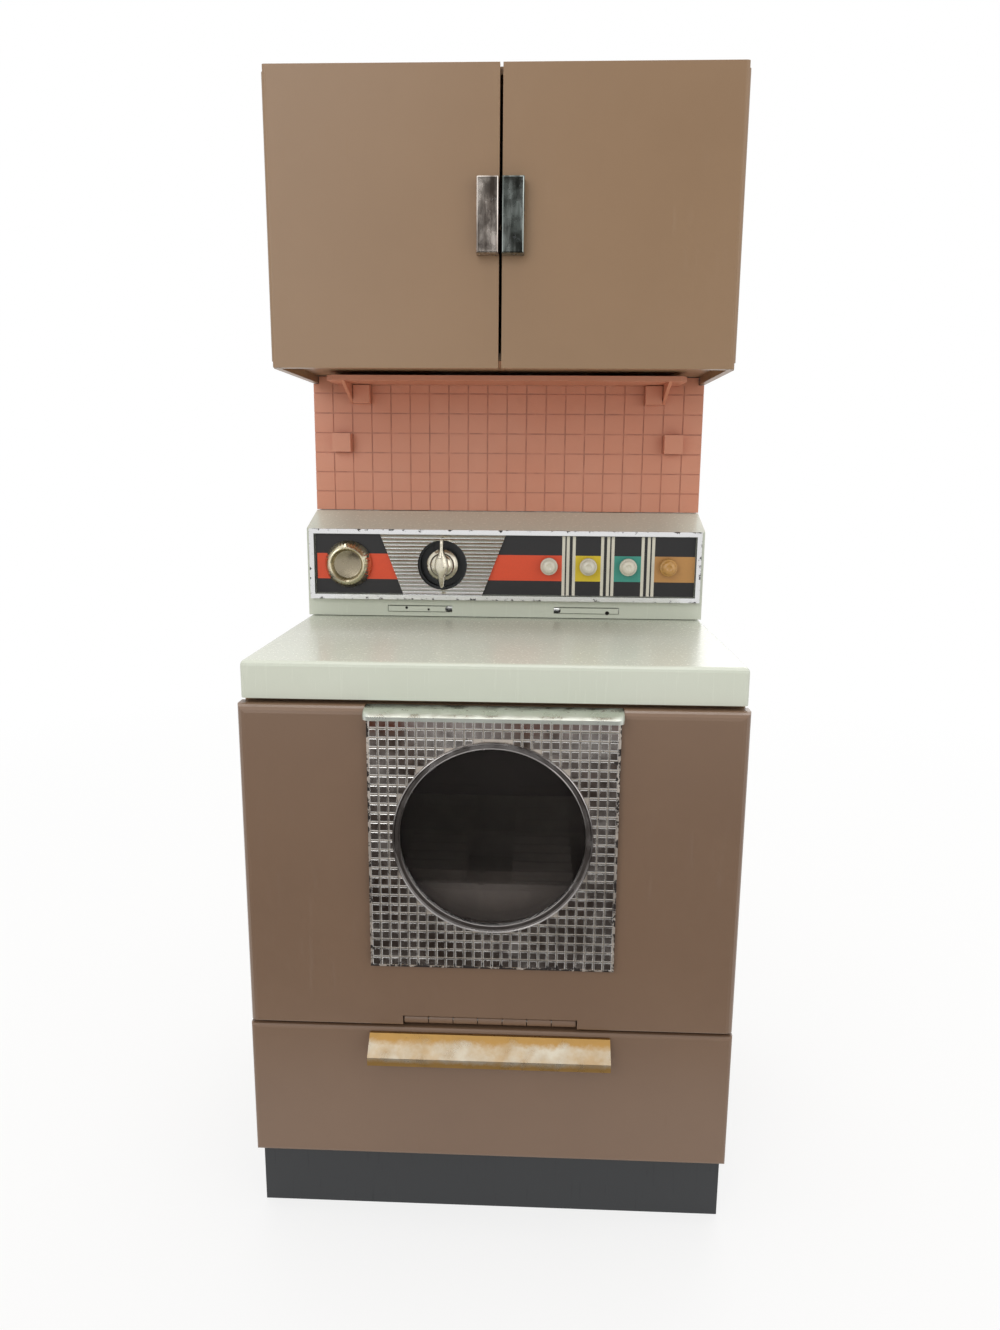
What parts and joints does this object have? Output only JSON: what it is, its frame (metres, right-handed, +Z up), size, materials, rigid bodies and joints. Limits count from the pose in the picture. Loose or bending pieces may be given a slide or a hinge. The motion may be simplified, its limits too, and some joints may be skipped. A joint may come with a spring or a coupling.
{
  "type": "toy dishwasher",
  "caption": "Toy dishwasher unit with a drop-down door, pull-out rack, drawer, dial console, tiled splashback and an upper cabinet with hinged doors.",
  "frame": {"origin": "on the floor, under the middle of the bounding box", "axes": "+Z up, the longest extent; the front faces -Y; +X to the viewer's right"},
  "size_m": [0.155, 0.131, 0.3727],
  "materials": {
    "taupe": "moulded, light gloss, fine scratches",
    "mint": "polished moulding",
    "pink": "moulded, satin",
    "black": "satin moulding",
    "brown": "satin moulding",
    "chrome": "vacuum-plated plastic, worn at the edges",
    "gold": "vacuum-plated gold on plastic, worn to pale",
    "steel": "plated wire and sheet",
    "card": "printed card behind the frame",
    "clear": "clear moulded polystyrene",
    "pearl": "pearl white moulding",
    "amber": "amber moulding"
  },
  "bodies": {
    "body": {"toe_kick": "black", "base_cabinet": "taupe", "base_back_panel": "taupe", "back_screw_1": "steel", "back_screw_2": "steel", "back_screw_3": "steel", "back_screw_4": "steel", "hinge_leaf_lower": "taupe", "hinge_pin": "steel", "tub_liner": "brown", "rack_runner_left": "brown", "rack_runner_right": "brown", "drawer_runner_left": "brown", "drawer_runner_right": "brown", "countertop": "mint", "console_housing": "mint", "console_back_cover": "mint", "fascia_frame": "chrome", "fascia_card": "card", "timer_cup": "black", "button_spring_1": "steel", "button_spring_2": "steel", "button_spring_3": "steel", "button_spring_4": "steel", "backsplash": "pink", "wall_shelf": "pink", "upper_cabinet": "taupe", "cabinet_shelf": "taupe"},
    "door": {"main_door": "taupe", "door_liner": "brown", "window_frame": "chrome", "window_pane": "clear", "hinge_leaf_upper": "taupe"},
    "rack": {"dish_rack": "clear"},
    "drawer": {"drawer_front": "taupe", "drawer_tray": "taupe", "drawer_handle": "gold"},
    "upper_door_left_body": {"upper_door_left": "taupe", "door_pull_left": "chrome", "upper_pin_left_bottom": "steel", "upper_pin_left_top": "steel"},
    "upper_door_right_body": {"upper_door_right": "taupe", "door_pull_right": "chrome", "upper_pin_right_bottom": "steel", "upper_pin_right_top": "steel"},
    "dial": {"left_dial": "gold", "dial_retainer": "steel"},
    "timer": {"timer_knob": "chrome", "timer_retainer": "steel"},
    "button_1": {"push_button_1": "pearl", "button_clip_1": "steel"},
    "button_2": {"push_button_2": "pearl", "button_clip_2": "steel"},
    "button_3": {"push_button_3": "pearl", "button_clip_3": "steel"},
    "button_4": {"push_button_4": "amber", "button_clip_4": "steel"}
  },
  "joints": [
    {"name": "main_door_hinge", "type": "hinge", "parent": "body", "child": "door", "pos_m": [0, -0.05675, 0.0734], "axis": [1, 0, 0], "range_deg": [0, 80]},
    {"name": "dish_rack_slide", "type": "slide", "parent": "body", "child": "rack", "axis": [0, -1, 0], "range_m": [0, 0.0294]},
    {"name": "drawer_slide", "type": "slide", "parent": "body", "child": "drawer", "axis": [0, -1, 0], "range_m": [0, 0.065]},
    {"name": "upper_left_hinge", "type": "hinge", "parent": "body", "child": "upper_door_left_body", "pos_m": [-0.0757, -0.0021, 0.2802], "axis": [0, 0, -1], "range_deg": [0, 90]},
    {"name": "upper_right_hinge", "type": "hinge", "parent": "body", "child": "upper_door_right_body", "pos_m": [0.0757, -0.0021, 0.2802], "axis": [0, 0, 1], "range_deg": [0, 90]},
    {"name": "left_dial_turn", "type": "hinge", "parent": "body", "child": "dial", "pos_m": [-0.0606, 0.0335, 0.21065], "axis": [0, 1, 0], "continuous": true},
    {"name": "timer_turn", "type": "hinge", "parent": "body", "child": "timer", "pos_m": [-0.0239, 0.0335, 0.21065], "axis": [0, 1, 0], "continuous": true},
    {"name": "button_1_press", "type": "slide", "parent": "body", "child": "button_1", "axis": [0, 1, 0], "range_m": [0, 0.0012], "stiffness_N_per_m": 60, "springref_m": -0.0004},
    {"name": "button_2_press", "type": "slide", "parent": "body", "child": "button_2", "axis": [0, 1, 0], "range_m": [0, 0.0012], "stiffness_N_per_m": 60, "springref_m": -0.0004},
    {"name": "button_3_press", "type": "slide", "parent": "body", "child": "button_3", "axis": [0, 1, 0], "range_m": [0, 0.0012], "stiffness_N_per_m": 60, "springref_m": -0.0004},
    {"name": "button_4_press", "type": "slide", "parent": "body", "child": "button_4", "axis": [0, 1, 0], "range_m": [0, 0.0012], "stiffness_N_per_m": 60, "springref_m": -0.0004}
  ],
  "couplings": [
    {"joint": "dish_rack_slide", "follows": "main_door_hinge", "m_per_rad": 0.021}
  ]
}
